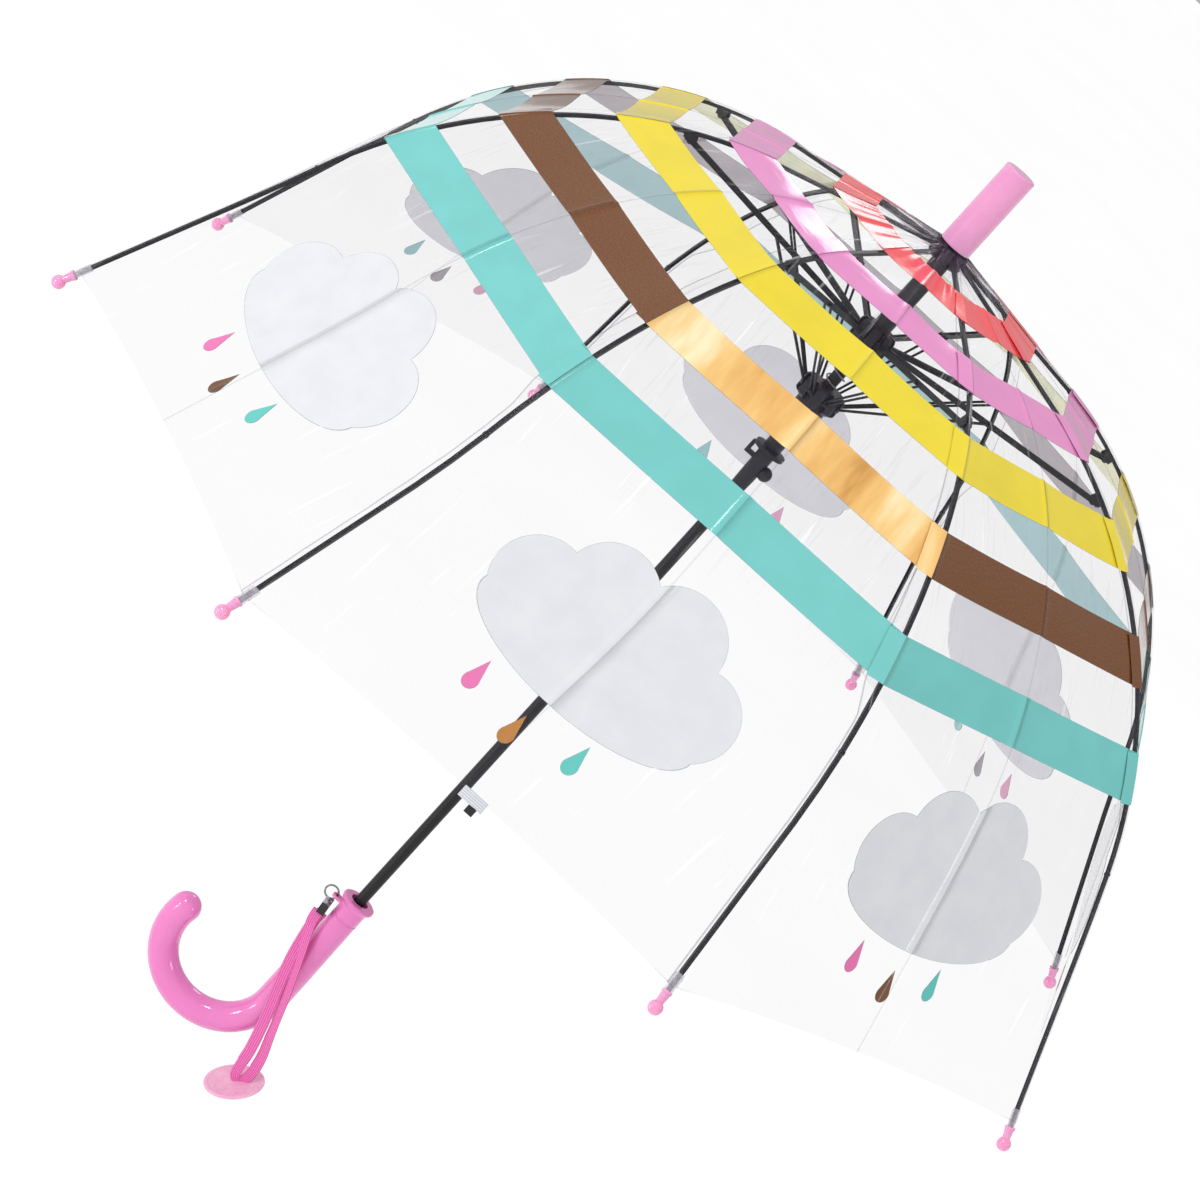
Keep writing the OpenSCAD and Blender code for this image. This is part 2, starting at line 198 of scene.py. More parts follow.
def bump(nt, height, strength, dist, b):
    n = node(nt, "ShaderNodeBump")
    n.inputs["Strength"].default_value = strength
    n.inputs["Distance"].default_value = dist
    nt.links.new(height, n.inputs["Height"])
    nt.links.new(n.outputs["Normal"], b.inputs["Normal"])
    return n


def srgb(r, g, b):
    f = lambda c: (c / 255 / 12.92) if c / 255 <= 0.04045 else ((c / 255 + 0.055) / 1.055) ** 2.4
    return (f(r), f(g), f(b))


def plain(name, c0, c1, scale, rough0, rough1, bump_s=0.0, bump_scale=900, metallic=0.0, coat=0.0, spec=0.5, sub=0.0, trans=0.0, alpha=1.0):
    """Colour that drifts a little between c0 and c1, roughness that drifts too, and a fine bump."""
    mt, nt, b = mat(name)
    f = noise(nt, scale, 3, 0.55)
    nt.links.new(ramp(nt, f, [(0.3, c0), (0.7, c1)]), b.inputs["Base Color"])
    r = node(nt, "ShaderNodeMapRange")
    r.inputs["To Min"].default_value, r.inputs["To Max"].default_value = rough0, rough1
    nt.links.new(noise(nt, scale * 6, 4, 0.6), r.inputs["Value"])
    nt.links.new(r.outputs[0], b.inputs["Roughness"])
    b.inputs["Metallic"].default_value = metallic
    b.inputs["Specular IOR Level"].default_value = spec
    b.inputs["Coat Weight"].default_value = coat
    b.inputs["Coat Roughness"].default_value = 0.06
    b.inputs["Subsurface Weight"].default_value = sub
    if sub:
        b.inputs["Subsurface Radius"].default_value = (0.004, 0.0015, 0.002)
        b.inputs["Subsurface Scale"].default_value = 1.0
    b.inputs["Transmission Weight"].default_value = trans
    b.inputs["Alpha"].default_value = alpha
    if bump_s:
        bump(nt, noise(nt, bump_scale, 4, 0.6), bump_s, 0.0004, b)
    return mt


M = {}
M["handle"] = plain("handle_plastic", srgb(222, 112, 182), srgb(229, 122, 189), 26, 0.10, 0.16, 0.04, 400, coat=0.6, sub=0.10)
M["ferrule"] = plain("ferrule_plastic", srgb(226, 146, 196), srgb(236, 162, 206), 40, 0.14, 0.20, 0.05, 500, coat=0.4, sub=0.12)
M["steel"] = plain("black_painted_steel", srgb(13, 12, 15), srgb(22, 21, 25), 60, 0.34, 0.46, 0.10, 1600, spec=0.35)
M["wire"] = plain("black_wire", srgb(11, 10, 13), srgb(20, 19, 23), 120, 0.36, 0.48, 0.10, 2600, spec=0.3)
M["hub"] = plain("hub_nylon", srgb(22, 21, 27), srgb(34, 32, 40), 90, 0.36, 0.50, 0.16, 1800, spec=0.4)
M["button"] = plain("button_plastic", srgb(215, 96, 170), srgb(224, 108, 180), 90, 0.24, 0.32, 0.05, 600, coat=0.3, sub=0.1)
M["tip"] = plain("tip_plastic", srgb(232, 140, 188), srgb(240, 158, 200), 160, 0.10, 0.18, 0.03, 900, coat=0.8, sub=0.45)
M["spring"] = plain("spring_steel", srgb(120, 120, 124), srgb(150, 150, 155), 200, 0.24, 0.34, 0.08, 3000, metallic=1.0)


def ring_material():
    """Plated metal: faces turned along Y, below AP - 512 mm, are dark and hardly metallic; edges and wire are bright
    metal.
    """
    mt, nt, b = mat("plated_ring")
    ge = node(nt, "ShaderNodeTexCoord")
    sep = node(nt, "ShaderNodeSeparateXYZ")
    nt.links.new(ge.outputs["Normal"], sep.inputs[0])
    ob_ = node(nt, "ShaderNodeSeparateXYZ")
    nt.links.new(ge.outputs["Object"], ob_.inputs[0])
    flat_ = math_(nt, "GREATER_THAN", math_(nt, "ABSOLUTE", sep.outputs[1]), 0.86)
    low = math_(nt, "LESS_THAN", ob_.outputs[2], (AP - 512.0) * MM)
    k = math_(nt, "MULTIPLY", flat_, low)
    n_ = noise(nt, 320, 3, 0.6)
    nt.links.new(mixc(nt, k, ramp(nt, n_, [(0.3, srgb(96, 94, 98)), (0.7, srgb(176, 174, 180))]), ramp(nt, n_, [(0.3, srgb(18, 16, 18)), (0.7, srgb(40, 36, 38))])), b.inputs["Base Color"])
    nt.links.new(mixf(nt, k, 1.0, 0.15), b.inputs["Metallic"])
    nt.links.new(mixf(nt, n_, 0.14, 0.26), b.inputs["Roughness"])
    bump(nt, noise(nt, 2500, 3, 0.5), 0.05, 0.0003, b)
    return mt


def band_mask(nt, v, lo, hi, soft=0.25):
    """1 where lo < v < hi, with an edge soft mm wide."""
    a_ = math_(nt, "MULTIPLY_ADD", v, 1 / soft, -lo / soft + 0.5, clamp=True)
    b_ = math_(nt, "MULTIPLY_ADD", v, -1 / soft, hi / soft + 0.5, clamp=True)
    return math_(nt, "MULTIPLY", a_, b_)


def circle_d(nt, x, y, cx, cy, r, sx=1.0, sy=1.0):
    """Distance outside a circle (or a nearly round ellipse), negative inside."""
    dx = math_(nt, "MULTIPLY_ADD", x, 1 / sx, -cx / sx)
    dy = math_(nt, "MULTIPLY_ADD", y, 1 / sy, -cy / sy)
    d2 = math_(nt, "ADD", math_(nt, "MULTIPLY", dx, dx), math_(nt, "MULTIPLY", dy, dy))
    return math_(nt, "SUBTRACT", math_(nt, "SQRT", d2), r)


def mask_d(nt, d, soft=0.35):
    return math_(nt, "MULTIPLY_ADD", d, -1 / soft, 0.5, clamp=True)


def mixc(nt, fac, a_, b_):
    n = node(nt, "ShaderNodeMix", data_type="RGBA")
    nt.links.new(fac, n.inputs[0])
    for k, v in ((6, a_), (7, b_)):
        if isinstance(v, tuple):
            n.inputs[k].default_value = (*v, 1)
        else:
            nt.links.new(v, n.inputs[k])
    return n.outputs[2]


def mixf(nt, fac, a_, b_):
    n = node(nt, "ShaderNodeMix", data_type="FLOAT")
    nt.links.new(fac, n.inputs[0])
    for k, v in ((2, a_), (3, b_)):
        if isinstance(v, (int, float)):
            n.inputs[k].default_value = v
        else:
            nt.links.new(v, n.inputs[k])
    return n.outputs[0]


BANDS = [("red", 49.6, 75.8, srgb(244, 78, 84)), ("pink", 109.6, 137.4, srgb(232, 142, 200)), ("yellow", 170.0, 198.2, srgb(236, 214, 36)),
         ("gold", 231.2, 258.2, None), ("teal", 290.8, 317.4, srgb(112, 196, 192))]
BACK = {"red": srgb(224, 150, 156), "pink": srgb(220, 184, 210), "yellow": srgb(230, 228, 184), "gold": srgb(172, 164, 170), "teal": srgb(168, 200, 205)}


def film_material(name, flap=False, gold=False, inside=False):
    """Clear film with the printed bands, a cloud and three drops, drawn in the film's own flat coordinates: U across the gore
    from its crease and V along the rib, both in mm / 1000. The skin on the inside shows the print paler, through its white backing."""
    mt, nt, b = mat(name)
    uv = node(nt, "ShaderNodeUVMap", uv_map="film")
    sep = node(nt, "ShaderNodeSeparateXYZ")
    nt.links.new(uv.outputs[0], sep.inputs[0])
    U = math_(nt, "MULTIPLY", sep.outputs[0], 1000.0)
    V = math_(nt, "MULTIPLY", sep.outputs[1], 1000.0)
    # clear film, with streaks that run down it: thin bright ones are painted highlights, thin grey ones painted
    # reflections
    s1 = noise(nt, 1.0, 3, 0.55, coord=stretch(nt, uv.outputs[0], (260, 11, 1)))
    col = ramp(nt, s1, [(0.34, (0.10, 0.10, 0.13)), (0.5, (0.07, 0.06, 0.10)), (0.64, (0.10, 0.10, 0.13)), (0.70, (0.95, 0.95, 0.97))])
    base_a = 0.006 if inside else 0.03 if flap else 0.074
    print_m = None
    gold_m = None
    for nm, lo, hi, c in BANDS:
        k = band_mask(nt, V, lo, hi)
        if inside:
            g2 = noise(nt, 38, 2, 0.5, coord=uv.outputs[0])
            c = BACK[nm]
            col = mixc(nt, k, col, ramp(nt, g2, [(0.35, tuple(x * 0.95 for x in c)), (0.65, c)]))
        elif c is None:
            # foil band: with gold it is drawn lit, its ramp up to near white is painted highlight; without, its brown
            # is the foil's painted shaded look
            if gold:
                g1 = noise(nt, 1.0, 4, 0.58, coord=stretch(nt, uv.outputs[0], (34, 7, 1)))
                c_out = ramp(nt, g1, [(0.30, srgb(196, 136, 68)), (0.40, srgb(234, 180, 102)), (0.54, srgb(250, 206, 132)), (0.68, srgb(255, 240, 196))])
            else:
                g1 = noise(nt, 1.0, 3, 0.7, coord=stretch(nt, uv.outputs[0], (1100, 900, 1)))
                c_out = ramp(nt, g1, [(0.30, srgb(84, 44, 6)), (0.70, srgb(128, 74, 24))])
            gold_m = k
            col = mixc(nt, k, col, c_out)
        else:
            g2 = noise(nt, 38, 2, 0.5, coord=uv.outputs[0])
            lo_c = tuple(x * 0.94 for x in c)
            col = mixc(nt, k, col, ramp(nt, g2, [(0.35, lo_c), (0.65, c)]))
        print_m = k if print_m is None else math_(nt, "MAXIMUM", print_m, k)
    if not flap:
        # cloud: a heap of four rounds on a wide base, in the wide clear zone
        x = U
        y = math_(nt, "MULTIPLY_ADD", V, -1.0, 395.0)      # up towards the ferrule
        base = circle_d(nt, x, y, 0, -12, 24, sx=2.7, sy=1.0)
        d = base
        for cx, cy, r in ((-46, 4, 23), (-19, 23, 24), (18, 26, 26), (48, 5, 24)):
            d = math_(nt, "MINIMUM", d, circle_d(nt, x, y, cx, cy, r))
        cloud = mask_d(nt, d)
        g3 = noise(nt, 60, 3, 0.5, coord=uv.outputs[0])
        grey = ramp(nt, g3, [(0.3, srgb(208, 208, 214) if inside else srgb(211, 212, 217)), (0.7, srgb(214, 213, 219) if inside else srgb(217, 218, 222))])
        col = mixc(nt, cloud, col, grey)
        print_m = math_(nt, "MAXIMUM", print_m, cloud)
        # three drops under it
        if inside:
            tints = (srgb(212, 160, 188), srgb(160, 154, 162), srgb(150, 190, 194))
        else:
            # foil drop: the gold tint is painted lit, the brown tint painted shaded
            tints = (srgb(222, 112, 170), srgb(176, 118, 52) if gold else srgb(108, 68, 36), srgb(92, 190, 182))
        for (cx, cy), c in zip(((-34, -52), (-4, -60), (27, -51)), tints):
            # a narrow drop: round below, drawn out to a point 13 mm above its middle
            dd = circle_d(nt, x, y, cx, cy, 4.0, sx=1.0, sy=1.12)
            h = math_(nt, "SUBTRACT", y, float(cy))
            ax = math_(nt, "ABSOLUTE", math_(nt, "SUBTRACT", x, float(cx)))
            wdt = math_(nt, "MULTIPLY_ADD", h, -0.315, 4.15)
            cone = math_(nt, "MAXIMUM", math_(nt, "SUBTRACT", ax, wdt), math_(nt, "MULTIPLY_ADD", h, -1.0, 1.0))
            drop = mask_d(nt, math_(nt, "MINIMUM", dd, cone))
            col = mixc(nt, drop, col, c)
            print_m = math_(nt, "MAXIMUM", print_m, drop)
    au = math_(nt, "ABSOLUTE", U)
    edge = band_mask(nt, U, -0.9, 0.2, 0.3) if flap else math_(nt, "MULTIPLY_ADD", au, -1 / 0.8, 1.0, clamp=True)
    hem = math_(nt, "MULTIPLY_ADD", V, 1 / 0.7, -488.6 / 0.7, clamp=True)
    # milky gathers near the top
    top = math_(nt, "MULTIPLY_ADD", V, -1 / 58.0, 1.0, clamp=True)
    g4 = noise(nt, 1.0, 3, 0.6, coord=stretch(nt, uv.outputs[0], (700, 16, 1)))
    topn = math_(nt, "MULTIPLY", top, math_(nt, "MULTIPLY_ADD", g4, 3.0, -1.15, clamp=True))
    # bright and grey streaks, painted highlights and painted reflections: strong on the laps above the lower clear
    # zone, faint elsewhere
    painted_highlight_streak = math_(nt, "MULTIPLY_ADD", s1, 7.0, -4.1, clamp=True)
    painted_reflection_streak = math_(nt, "MULTIPLY_ADD", s1, -7.0, 2.7, clamp=True)
    upper = math_(nt, "MULTIPLY_ADD", V, -1 / 40.0, 340 / 40.0, clamp=True)
    painted_streak_alpha = math_(nt, "MULTIPLY", math_(nt, "MAXIMUM", painted_highlight_streak, painted_reflection_streak), math_(nt, "MULTIPLY", upper, 0.5 if flap else 0.05 if inside else 0.11))
    al = math_(nt, "ADD", base_a, math_(nt, "MULTIPLY", topn, 0.30 if inside else 0.62))
    al = math_(nt, "ADD", al, painted_streak_alpha, clamp=True)
    al = math_(nt, "MAXIMUM", al, math_(nt, "MULTIPLY", edge, 0.40 if flap else 0.14))
    al = math_(nt, "MAXIMUM", al, math_(nt, "MULTIPLY", hem, 0.12))
    al = mixf(nt, print_m, al, 0.985)
    nt.links.new(col, b.inputs["Base Color"])
    nt.links.new(al, b.inputs["Alpha"])
    rg = node(nt, "ShaderNodeMapRange")
    rg.inputs["To Min"].default_value, rg.inputs["To Max"].default_value = 0.10, 0.24
    nt.links.new(noise(nt, 30, 3, 0.6, coord=uv.outputs[0]), rg.inputs["Value"])
    if gold:
        nt.links.new(math_(nt, "MULTIPLY", gold_m, 0.55), b.inputs["Metallic"])
        nt.links.new(mixf(nt, gold_m, rg.outputs[0], 0.34), b.inputs["Roughness"])
    else:
        nt.links.new(rg.outputs[0], b.inputs["Roughness"])
    b.inputs["Specular IOR Level"].default_value = 0.4
    b.inputs["Coat Weight"].default_value = 0.25
    b.inputs["Coat Roughness"].default_value = 0.06
    w1 = noise(nt, 1.0, 3, 0.55, coord=stretch(nt, uv.outputs[0], (24, 60, 1)))
    w2 = noise(nt, 1.0, 2, 0.5, coord=stretch(nt, uv.outputs[0], (9, 16, 1)))
    h = math_(nt, "ADD", math_(nt, "MULTIPLY", w1, 0.4), w2)
    bump(nt, h, 0.25, 0.004, b)
    return mt


def stretch(nt, vec, s):
    n = node(nt, "ShaderNodeVectorMath", operation="MULTIPLY")
    nt.links.new(vec, n.inputs[0])
    n.inputs[1].default_value = s
    return n.outputs[0]


# materials made with gold=True are lit copies of the foil print, with painted highlights, for the second gore and the
# lap on rib 3
M["film"] = film_material("printed_clear_film")
M["film_gold"] = film_material("printed_clear_film_gold", gold=True)
M["film_in"] = film_material("printed_film_back", inside=True)
M["flap"] = film_material("printed_film_lap", flap=True)
M["flap_gold"] = film_material("printed_film_lap_lit_foil", flap=True, gold=True)
M["ring"] = ring_material()


def tab_material():
    mt, nt, b = mat("welded_film_tab")
    f = noise(nt, 260, 3, 0.6)
    nt.links.new(ramp(nt, f, [(0.3, srgb(196, 186, 204)), (0.7, srgb(238, 232, 242))]), b.inputs["Base Color"])
    nt.links.new(mixf(nt, noise(nt, 420, 3, 0.6), 0.22, 0.62), b.inputs["Alpha"])
    b.inputs["Roughness"].default_value = 0.12
    b.inputs["Coat Weight"].default_value = 0.6
    bump(nt, noise(nt, 600, 3, 0.6), 0.3, 0.0006, b)
    return mt


M["tab"] = tab_material()


def weave(name, c0, c1, sx, sy, rough=0.8, uvname="band", bs=0.5, alpha=1.0):
    """Ribbed webbing: cords along the band and picks across them, from the band's own UVs in metres."""
    mt, nt, b = mat(name)
    uv = node(nt, "ShaderNodeUVMap", uv_map=uvname)
    sep = node(nt, "ShaderNodeSeparateXYZ")
    nt.links.new(uv.outputs[0], sep.inputs[0])
    wx = math_(nt, "SINE", math_(nt, "MULTIPLY", sep.outputs[0], 2 * math.pi / sx))
    wy = math_(nt, "SINE", math_(nt, "MULTIPLY", sep.outputs[1], 2 * math.pi / sy))
    hgt = math_(nt, "MULTIPLY_ADD", wx, 0.5, math_(nt, "MULTIPLY", wy, 0.25))
    f = math_(nt, "MULTIPLY_ADD", hgt, 0.5, 0.5, clamp=True)
    n = noise(nt, 700, 3, 0.6, coord=uv.outputs[0])
    f2 = math_(nt, "ADD", math_(nt, "MULTIPLY", f, 0.75), math_(nt, "MULTIPLY", n, 0.25))
    # the colour follows the weave's relief: darker in the grooves between cords, painted shade, and lighter on the
    # crowns, painted light
    nt.links.new(ramp(nt, f2, [(0.2, c0), (0.75, c1)]), b.inputs["Base Color"])
    b.inputs["Roughness"].default_value = rough
    b.inputs["Sheen Weight"].default_value = 0.25
    b.inputs["Sheen Roughness"].default_value = 0.5
    b.inputs["Alpha"].default_value = alpha
    bump(nt, f2, bs, 0.0004, b)
    return mt


M["webbing"] = weave("strap_webbing", srgb(196, 44, 132), srgb(240, 128, 194), 0.00125, 0.0011, bs=0.8)
M["tie"] = weave("tie_weave", srgb(176, 178, 186), srgb(222, 223, 230), 0.0012, 0.0009, 0.7)
M["patch"] = weave("fastening_patch", srgb(20, 20, 22), srgb(46, 46, 50), 0.0007, 0.0007, 0.95, bs=0.8)


def tag_material():
    mt, nt, b = mat("tag_plastic")
    f = noise(nt, 120, 3, 0.55)
    nt.links.new(ramp(nt, f, [(0.3, srgb(240, 168, 205)), (0.7, srgb(247, 190, 219))]), b.inputs["Base Color"])
    r = node(nt, "ShaderNodeMapRange")
    r.inputs["To Min"].default_value, r.inputs["To Max"].default_value = 0.22, 0.34
    nt.links.new(noise(nt, 400, 3, 0.6), r.inputs["Value"])
    nt.links.new(r.outputs[0], b.inputs["Roughness"])
    b.inputs["Subsurface Weight"].default_value = 0.3
    b.inputs["Subsurface Radius"].default_value = (0.004, 0.002, 0.003)
    b.inputs["Alpha"].default_value = 0.82
    b.inputs["Coat Weight"].default_value = 0.3
    bump(nt, noise(nt, 900, 3, 0.5), 0.05, 0.0003, b)
    return mt


M["tag"] = tag_material()


def give(nodename, key):
    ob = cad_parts[nodename]
    me = ob.data
    me.materials.clear()
    me.materials.append(M[key])


# ------------------------------------------------------------------ wrist strap (a cord)
ROUTE = [[12, 3, -519], [12, 5, -526], [10.5, 8, -536], [8, 10.5, -548], [4.5, 12, -560], [0.5, 12.5, -572], [-3.5, 12.5, -584], [-7, 12.5, -596],
         [-10, 12.5, -608], [-11.5, 12.5, -618], [-13, 12.5, -625], [-16, 12.3, -627.5], [-19, 12, -625],
         [-19.5, 12, -617], [-17.5, 12.2, -606], [-13.5, 13, -594], [-9.5, 13.5, -582], [-5.5, 13.6, -570], [-1, 13.4, -558], [4, 12, -546], [9, 9.6, -535],
         [13, 6.4, -526], [14, 4.6, -519]]
STRAP_W, STRAP_T = 7.0, 1.1
rt = np.array(ROUTE, float) + np.array([0, 0, AP])


def catmull(P, n):
    out = []
    Q = np.vstack([2 * P[0] - P[1], P, 2 * P[-1] - P[-2]])
    for i in range(1, len(Q) - 2):
        p0, p1, p2, p3 = Q[i - 1], Q[i], Q[i + 1], Q[i + 2]
        for k in range(n):
            t = k / n
            out.append(0.5 * (2 * p1 + (p2 - p0) * t + (2 * p0 - 5 * p1 + 4 * p2 - p3) * t * t + (3 * p1 - p0 - 3 * p2 + p3) * t ** 3))
    out.append(P[-1])
    return np.array(out)


def unit(v):
    return v / max(np.linalg.norm(v), 1e-12)


def swept_band(name, path, across_of, width, thick, uvname="band", ribs=5, nw=20):
    """A flat woven band with rounded edges and lengthwise cords, swept along path (mm)."""
    n = len(path)
    L = np.concatenate([[0], np.cumsum(np.linalg.norm(np.diff(path, axis=0), axis=1))])
    prof2 = []
    for k in range(nw + 1):                      # top side, then bottom side
        x = -1 + 2 * k / nw
        t = (1 - abs(x) ** 6) ** 0.5 * (0.86 + 0.14 * abs(math.sin(ribs * math.pi * (x + 1) / 2)))
        prof2.append((x, t))
    for k in range(nw - 1, 0, -1):
        x = -1 + 2 * k / nw
        t = (1 - abs(x) ** 6) ** 0.5 * (0.86 + 0.14 * abs(math.sin(ribs * math.pi * (x + 1) / 2)))
        prof2.append((x, -t))
    m_ = len(prof2)
    verts, uvs = [], []
    for i in range(n):
        d = unit(path[min(i + 1, n - 1)] - path[max(i - 1, 0)])
        u, w = across_of(i, d)
        for x, t in prof2:
            verts.append((path[i] + u * x * w / 2 + unit(np.cross(d, u)) * t * thick / 2) * MM)
    faces = []
    for i in range(n - 1):
        for j in range(m_):
            faces.append((i * m_ + j, i * m_ + (j + 1) % m_, (i + 1) * m_ + (j + 1) % m_, (i + 1) * m_ + j))
    faces.append(tuple(range(m_ - 1, -1, -1)))
    faces.append(tuple((n - 1) * m_ + j for j in range(m_)))
    ob = new_mesh(name, verts, faces)
    me = ob.data
    layer = me.uv_layers.new(name=uvname)
    xs = [p[0] * width / 2 * MM for p in prof2]
    for poly in me.polygons:
        for li in poly.loop_indices:
            vi = me.loops[li].vertex_index
            layer.data[li].uv = (xs[vi % m_], L[vi // m_] * MM)
    bm = bmesh.new(); bm.from_mesh(me); bmesh.ops.recalc_face_normals(bm, faces=bm.faces); bm.to_mesh(me); bm.free()
    return ob, L


path = catmull(rt, 8)
NP_ = len(path)


def strap_across(i, d):
    t = i / (NP_ - 1)
    base = np.array([0.15, 1.0, 0.0])
    # the second run is twisted, so it shows more of its edge
    tw = np.clip((t - 0.58) / 0.14, 0, 1) * np.clip((0.99 - t) / 0.14, 0, 1)
    base = base + np.array([0.75, 0, 0]) * tw
    u = unit(np.cross(d, base))
    w = STRAP_W * (0.9 if 0.40 < t < 0.60 else 1.0)
    return u, w


strap, SL = swept_band("wrist_strap_webbing", path, strap_across, STRAP_W, STRAP_T)
strap.data.materials.append(M["webbing"])
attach(strap, "wrist_strap")
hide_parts("wrist_strap")

# ------------------------------------------------------------------ tag
TAG_C = np.array([-15.6, 12.2, -629.5 + AP])
tag_rot = (Matrix.Rotation(math.radians(37), 4, "Y") @ Matrix.Rotation(math.radians(-11), 4, "X"))


def lathe(name, pts, seg=96, close=True):
    """Closed solid of revolution about Z from (r, z) pairs; a pair with r = 0 becomes one point."""
    verts, rings = [], []
    for r, z in pts:
        if r < 1e-9:
            rings.append([len(verts)]); verts.append((0, 0, z * MM))
        else:
            rings.append(list(range(len(verts), len(verts) + seg)))
            verts += [(r * math.cos(2 * math.pi * k / seg) * MM, r * math.sin(2 * math.pi * k / seg) * MM, z * MM) for k in range(seg)]
    faces = []
    for a_, b_ in zip(rings[:-1], rings[1:]):
        for k in range(seg):
            q = [a_[k % len(a_)], a_[(k + 1) % len(a_)], b_[(k + 1) % len(b_)], b_[k % len(b_)]]
            q2 = []
            for v in q:
                if v not in q2:
                    q2.append(v)
            if len(q2) > 2:
                faces.append(tuple(q2))
    ob = new_mesh(name, verts, faces)
    bm = bmesh.new(); bm.from_mesh(ob.data); bmesh.ops.recalc_face_normals(bm, faces=bm.faces); bm.to_mesh(ob.data); bm.free()
    return ob


tag = lathe("round_tag", [(0, 0.72), (14.6, 0.72), (15.0, 0.8), (15.4, 1.0), (16.6, 1.0), (17.2, 0.8), (17.5, 0.3), (17.5, -0.3), (17.2, -0.8), (16.6, -1.0),
                          (15.4, -1.0), (15.0, -0.8), (14.6, -0.72), (0, -0.72)])
tag.matrix_world = Matrix.Translation(Vector(TAG_C * MM)) @ tag_rot
tag.data.transform(tag.matrix_world); tag.matrix_world = Matrix.Identity(4)
tag.data.materials.append(M["tag"])
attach(tag, "wrist_strap")
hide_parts("strap_tag")
give("strap_ring", "ring")

# ------------------------------------------------------------------ canopy film
NU, HEM, SCALLOP = 22, 490.0, 4.0
ST = np.unique(np.concatenate([np.linspace(5, 30, 8), np.linspace(30, 110, 20), np.linspace(110, 355, 68), np.linspace(355, HEM, 32)]))
rng = np.random.default_rng(7)


def film_half(g, side):
    """One half of a gore: from the rib line to the crease, straight across as clear film is pulled between its ribs.
    Two skins, 0.2 mm apart: the printed outer one and the paler back of the print."""
    ri = g if side == "left" else g % 8 + 1
    ph = rng.uniform(0, 6.28, 8)
    sg = 1.0 if side == "left" else -1.0
    us = np.linspace(0, 1, NU + 1)
    outer, inner, uvs, ws = [], [], [], []
    for s0 in ST:
        for u in us:
            # the hem curves up a little between the tips
            s = s0 - SCALLOP * (1 - (1 - u) ** 2) * max(0.0, (s0 - 440) / (HEM - 440))
            p, al = prof(s), slope(s)
            hw = p[0] * S8
            t = u * hw
            nrm = np.array([math.sin(al) * C8, math.sin(al) * S8, math.cos(al) * C8]); nrm = nrm / np.linalg.norm(nrm)
            q = np.array([p[0] + t * EX, t * EY, p[1]])
            # a raised crease, a slight hollow beside it, gathers at the top and puckers beside the rib
            bell = math.sin(math.pi * u)
            near = max(0.0, 1 - s / 75.0)
            d = 0.55 * math.exp(-((hw - t) / 1.6) ** 2) * min(1, s / 60)
            d -= 1.0 * bell * min(1.0, s / 200.0)
            d += near * 0.55 * math.sin(2 * math.pi * 3 * u) * bell ** 0.5
            d += 0.30 * bell * math.sin(s / 23.0 + ph[0] + 2.1 * u) * min(1, s / 120) + 0.20 * bell * math.sin(s / 11.0 + ph[1] - 4 * u)
            d += 0.26 * math.exp(-t / 7.0) * (1 - math.exp(-t / 1.6)) * math.sin(s / 5.2 + ph[2]) * min(1, s / 60)
            a_ = tw(s)
            for lst, dd in ((outer, d), (inner, d - 0.2)):
                v = q + nrm * dd
                if side == "right":
                    v = np.array([v[0], -v[1], v[2]])
                lst.append(turn(v, -a_))
            uvs.append((sg * (t - hw), s))
            ws.append(u)
    V_ = turn(np.array(outer + inner), az(ri)) + np.array([0, 0, AP])
    n, m_ = len(ST), NU + 1
    f1 = [(i * m_ + j, (i + 1) * m_ + j, (i + 1) * m_ + j + 1, i * m_ + j + 1) for i in range(n - 1) for j in range(NU)]
    if side == "right":
        f1 = [f[::-1] for f in f1]
    f2 = [tuple(v + n * m_ for v in f[::-1]) for f in f1]
    # narrow rims close the two skins into one thin shell
    k0 = n * m_
    ring = [i * m_ for i in range(n)] + [(n - 1) * m_ + j for j in range(1, m_)] + [i * m_ + m_ - 1 for i in range(n - 2, -1, -1)] + [j for j in range(m_ - 2, 0, -1)]
    f3 = [(a2, a2 + k0, b2 + k0, b2) for a2, b2 in zip(ring, ring[1:] + ring[:1])]
    if side == "left":
        f3 = [f[::-1] for f in f3]
    ob = new_mesh(f"canopy_film_{g}_{side}", V_ * MM, f1 + f2 + f3)
    me = ob.data
    layer = me.uv_layers.new(name="film")
    uvs = uvs + uvs
    for poly in me.polygons:
        for li in poly.loop_indices:
            x, y = uvs[me.loops[li].vertex_index]
            layer.data[li].uv = (x * MM, y * MM)
        poly.material_index = 1 if len(f1) <= poly.index < 2 * len(f1) else 0
    # the second gore takes the lit copy of the foil print, with painted highlights
    me.materials.append(M["film_gold" if g == 2 else "film"])
    me.materials.append(M["film_in"])
    b_ = f"panel_{g}_{side}"
    c = V_.mean(0) * MM
    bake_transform(ob, f"rib_{ri}", b_, start=(0, 0, 0), end=tuple(c))
    me.attributes["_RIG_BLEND"].data.foreach_set("value", np.array(ws + ws, np.float32))
    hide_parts(b_)
    return ob


for g in range(1, 9):
    for side in ("left", "right"):
        film_half(g, side)

